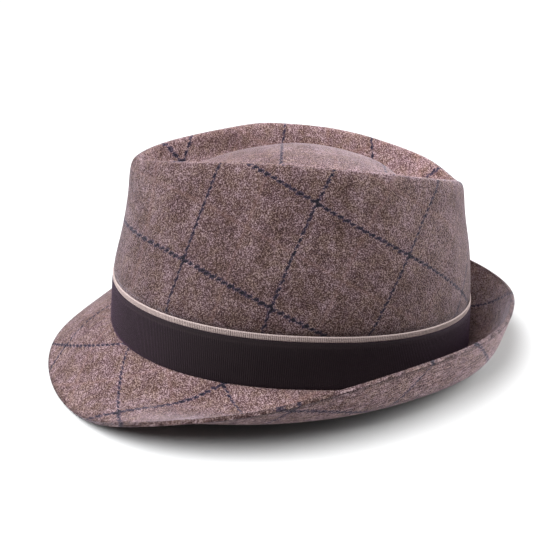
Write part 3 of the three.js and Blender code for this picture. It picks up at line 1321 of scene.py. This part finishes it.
@dataclass
class RibbedRibbon:
    """A ribbon of upright ribs, woven once as one rib, repeated, and laid round the crown's foot.

    Sizes are in millimetres. The rib's section and the selvage's rise are shares of the rib's depth, and the
    edges' rounding is a share of the thickness.
    """

    name: str
    oval: HeadOval
    thickness: float
    bottom: float
    height: float
    rib_pitch: float
    rib_depth: float
    selvage: float
    rows: int
    inside: float = RIBBONS_INSIDE
    rib_section: tuple[float, ...] = (0.0, 0.75, 1.0, 0.75)
    rib_join: float = 0.0001
    selvage_rise: float = 0.8
    edge_rounding: float = 0.25
    way_points: int = 2881
    rim_points: int = 65

    def rims(self) -> np.ndarray:
        """Returns level points once round its outer edges, the lower and the upper."""
        around = np.linspace(0, math.tau, self.rim_points)
        heights = (self.bottom, self.bottom + self.height)
        return np.concatenate([self.oval.points(around, self.inside + self.thickness, z) for z in heights])

    def weave_rib(self, pitch: float) -> bpy.types.Object:
        """Models the outer face of one rib, standing at the ribbon's start.

        Args:
            pitch: The rib's width.

        Returns:
            The rib's object.
        """
        across = len(self.rib_section)
        bpy.ops.object.select_all(action="DESELECT")
        bpy.ops.mesh.primitive_grid_add(x_subdivisions=across, y_subdivisions=self.rows, size=1.0)
        piece = bpy.context.active_object
        piece.name = self.name
        piece.data.name = self.name
        piece.data.uv_layers[0].name = WEAVE_MAP
        section = (*self.rib_section, self.rib_section[0])
        for vertex in piece.data.vertices:
            x, y = vertex.co.x + 0.5, vertex.co.y + 0.5
            height = self.height * y
            selvages_in = min(height, self.height - height) / self.selvage
            woven = min(1.0, max(0.0, selvages_in * 2 - 1))
            raised = section[round(x * across)] * woven + self.selvage_rise * (1 - woven)
            rounding = max(0.0, 1 - selvages_in * 2) ** 2 * self.edge_rounding * self.thickness
            vertex.co = (x * pitch, -self.rib_depth * (1 - raised) - rounding, height)
        return piece

    def build(self, rest: RestingPlace) -> bpy.types.Object:
        """Models the ribbon.

        Args:
            rest: How the hat lies.

        Returns:
            The ribbon's object.
        """
        around = np.linspace(-math.pi, math.pi, self.way_points)
        outside = self.inside + self.thickness
        way = run_along(self.oval.points(around, outside, self.bottom + self.height / 2))
        count = round(way[-1] / self.rib_pitch)
        pitch = way[-1] / count
        piece = self.weave_rib(pitch)
        apply_modifier(
            piece,
            "weave",
            "ARRAY",
            count=count,
            use_relative_offset=False,
            use_constant_offset=True,
            constant_offset_displace=(pitch, 0.0, 0.0),
            use_merge_vertices=True,
            merge_threshold=self.rib_join,
        )
        wall = {"thickness": self.thickness - self.rib_depth, "offset": 1.0, "use_rim": True}
        apply_modifier(piece, "tape", "SOLIDIFY", **wall)
        places = np.empty(len(piece.data.vertices) * 3)
        piece.data.vertices.foreach_get("co", places)
        places = places.reshape(-1, 3)
        direction = np.interp(places[:, 0], way, around)
        laid = self.oval.points(direction, outside + places[:, 1], self.bottom + places[:, 2])
        piece.data.vertices.foreach_set("co", rest.row(laid).ravel())
        merge_doubles(piece)
        smooth_faces(piece, SHARP_TAPE)
        return piece


# Studio


@dataclass(frozen=True)
class SoftBox:
    """A square soft light that faces the hat. Metres and watts."""

    name: str
    place: tuple[float, float, float]
    size: float
    watts: float

    def hang(self) -> None:
        """Hangs the light."""
        data = bpy.data.lights.new(self.name, "AREA")
        data.energy = self.watts
        data.size = self.size
        light = bpy.data.objects.new(self.name, data)
        light.location = self.place
        light.rotation_euler = (-Vector(self.place)).to_track_quat("-Z", "Y").to_euler()
        bpy.context.scene.collection.objects.link(light)


@dataclass
class Studio:
    """A white floor, soft light from above and the camera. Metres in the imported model's frame."""

    camera_place: tuple[float, float, float] = (0.38697, -0.038877, 0.198695)
    camera_right: tuple[float, float, float] = (0.09863, 0.99491, -0.02078)
    camera_up: tuple[float, float, float] = (-0.37600, 0.05659, 0.92489)
    lens: float = 46.79
    sensor_width: float = 36.0
    floor_size: float = 60.0
    floor_white: float = 0.38
    floor_roughness: float = 0.9
    room_light: float = 0.12
    sky_from: tuple[float, float, float] = (0.14, -0.62, 1.0)
    sky_light: float = 10.4
    sky_spread: float = 56.0
    sky_colour: tuple[float, float, float] = (0.98, 0.99, 1.0)
    boxes: tuple[SoftBox, ...] = (
        SoftBox("left_box", (-0.1, -1.1, 0.5), 0.9, 2.0),
        SoftBox("right_box", (-0.1, 1.1, 0.5), 0.9, 32.0),
    )

    def set_camera(self) -> None:
        """Places the camera at the photograph's viewing angle."""
        data = bpy.data.cameras.new("camera")
        data.lens = self.lens
        data.sensor_width = self.sensor_width
        camera = bpy.data.objects.new("camera", data)
        right = Vector(self.camera_right).normalized()
        up = Vector(self.camera_up).normalized()
        back = right.cross(up)
        turn = Matrix((right, up, back)).transposed()
        camera.matrix_world = Matrix.Translation(self.camera_place) @ turn.to_4x4()
        bpy.context.scene.collection.objects.link(camera)
        bpy.context.scene.camera = camera

    def lay_floor(self) -> None:
        """Lays the white floor."""
        bpy.ops.object.select_all(action="DESELECT")
        bpy.ops.mesh.primitive_plane_add(size=self.floor_size)
        floor = bpy.context.active_object
        floor.name = "floor"
        bench = Bench("white_floor")
        bench.dress(Base_Color=(self.floor_white,) * 3, Roughness=self.floor_roughness)
        floor.data.materials.append(bench.material)

    def light(self) -> None:
        """Lights the hat by a wide soft light overhead, one box on each side and a pale room."""
        data = bpy.data.lights.new("overhead", "SUN")
        data.energy = self.sky_light
        data.angle = math.radians(self.sky_spread)
        data.color = self.sky_colour
        sky = bpy.data.objects.new("overhead", data)
        sky.rotation_euler = (-Vector(self.sky_from)).to_track_quat("-Z", "Y").to_euler()
        bpy.context.scene.collection.objects.link(sky)
        for box in self.boxes:
            box.hang()
        world = bpy.data.worlds.new("pale_room")
        world.use_nodes = True
        background = world.node_tree.nodes["Background"]
        background.inputs["Color"].default_value = (1.0, 1.0, 1.0, 1.0)
        background.inputs["Strength"].default_value = self.room_light
        bpy.context.scene.world = world
        bpy.context.scene.view_settings.view_transform = "Standard"

    def build(self) -> None:
        """Sets up the whole studio."""
        self.set_camera()
        self.lay_floor()
        self.light()


class Piece(Enum):
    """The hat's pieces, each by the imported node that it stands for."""

    CROWN = ("crown", "checked_wool")
    BRIM = ("brim", "checked_wool")
    BAND = ("ribbon_band", "dark_ribbon")
    EDGING = ("ribbon_edging", "pale_ribbon")

    def settle(self, piece: bpy.types.Object, material: bpy.types.Material) -> None:
        """Puts a finished piece in its node's place.

        Args:
            piece: The finished object.
            material: Its finish.
        """
        node, slot = self.value
        piece.data.materials.clear()
        piece.data.materials.append(material)
        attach(piece, "root")
        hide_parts(node)
        log.info("%s: %d faces", piece.name, len(piece.data.polygons))


def main() -> None:
    """Builds the hat and its studio."""
    oval = HeadOval()
    band = RibbedRibbon(
        "band_ribbon",
        oval,
        thickness=BAND_THICKNESS,
        bottom=BAND_BOTTOM,
        height=BAND_HEIGHT,
        rib_pitch=1.03,
        rib_depth=0.18,
        selvage=1.2,
        rows=18,
    )
    edging = RibbedRibbon(
        "edging_ribbon",
        oval,
        thickness=EDGING_THICKNESS,
        bottom=EDGING_BOTTOM,
        height=EDGING_HEIGHT,
        rib_pitch=0.92,
        rib_depth=0.26,
        selvage=0.5,
        rows=8,
    )
    dark = Grosgrain(
        "dark_grosgrain",
        valley_painted_shade=shade(18, 13, 15),
        crest=shade(32, 25, 26),
        selvage=shade(34, 27, 28),
        selvage_from=0.9,
        selvage_to=0.92,
        bloom=shade(160, 112, 164),
        bloom_weight=0.24,
    )
    pale = Grosgrain(
        "pale_grosgrain",
        valley_painted_shade=shade(92, 80, 78),
        crest=shade(162, 146, 142),
        selvage=shade(152, 137, 134),
        selvage_from=0.82,
        selvage_to=1.0,
        bloom=shade(220, 200, 210),
        bloom_weight=0.1,
    )
    rest = RestingPlace.of_ring(edging.rims(), *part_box("ribbon_edging"))
    log.info("tilt %.3f degrees", math.degrees(rest.tilt))
    tweed = Tweed().material()
    Piece.CROWN.settle(Crown(CrownForm(oval)).build(rest), tweed)
    Piece.BRIM.settle(Brim(BrimForm(oval)).build(rest), tweed)
    Piece.BAND.settle(band.build(rest), dark.material())
    Piece.EDGING.settle(edging.build(rest), pale.material())
    Studio().build()


if __name__ == "__main__":
    logging.basicConfig(level=logging.INFO, format="%(message)s")
    main()
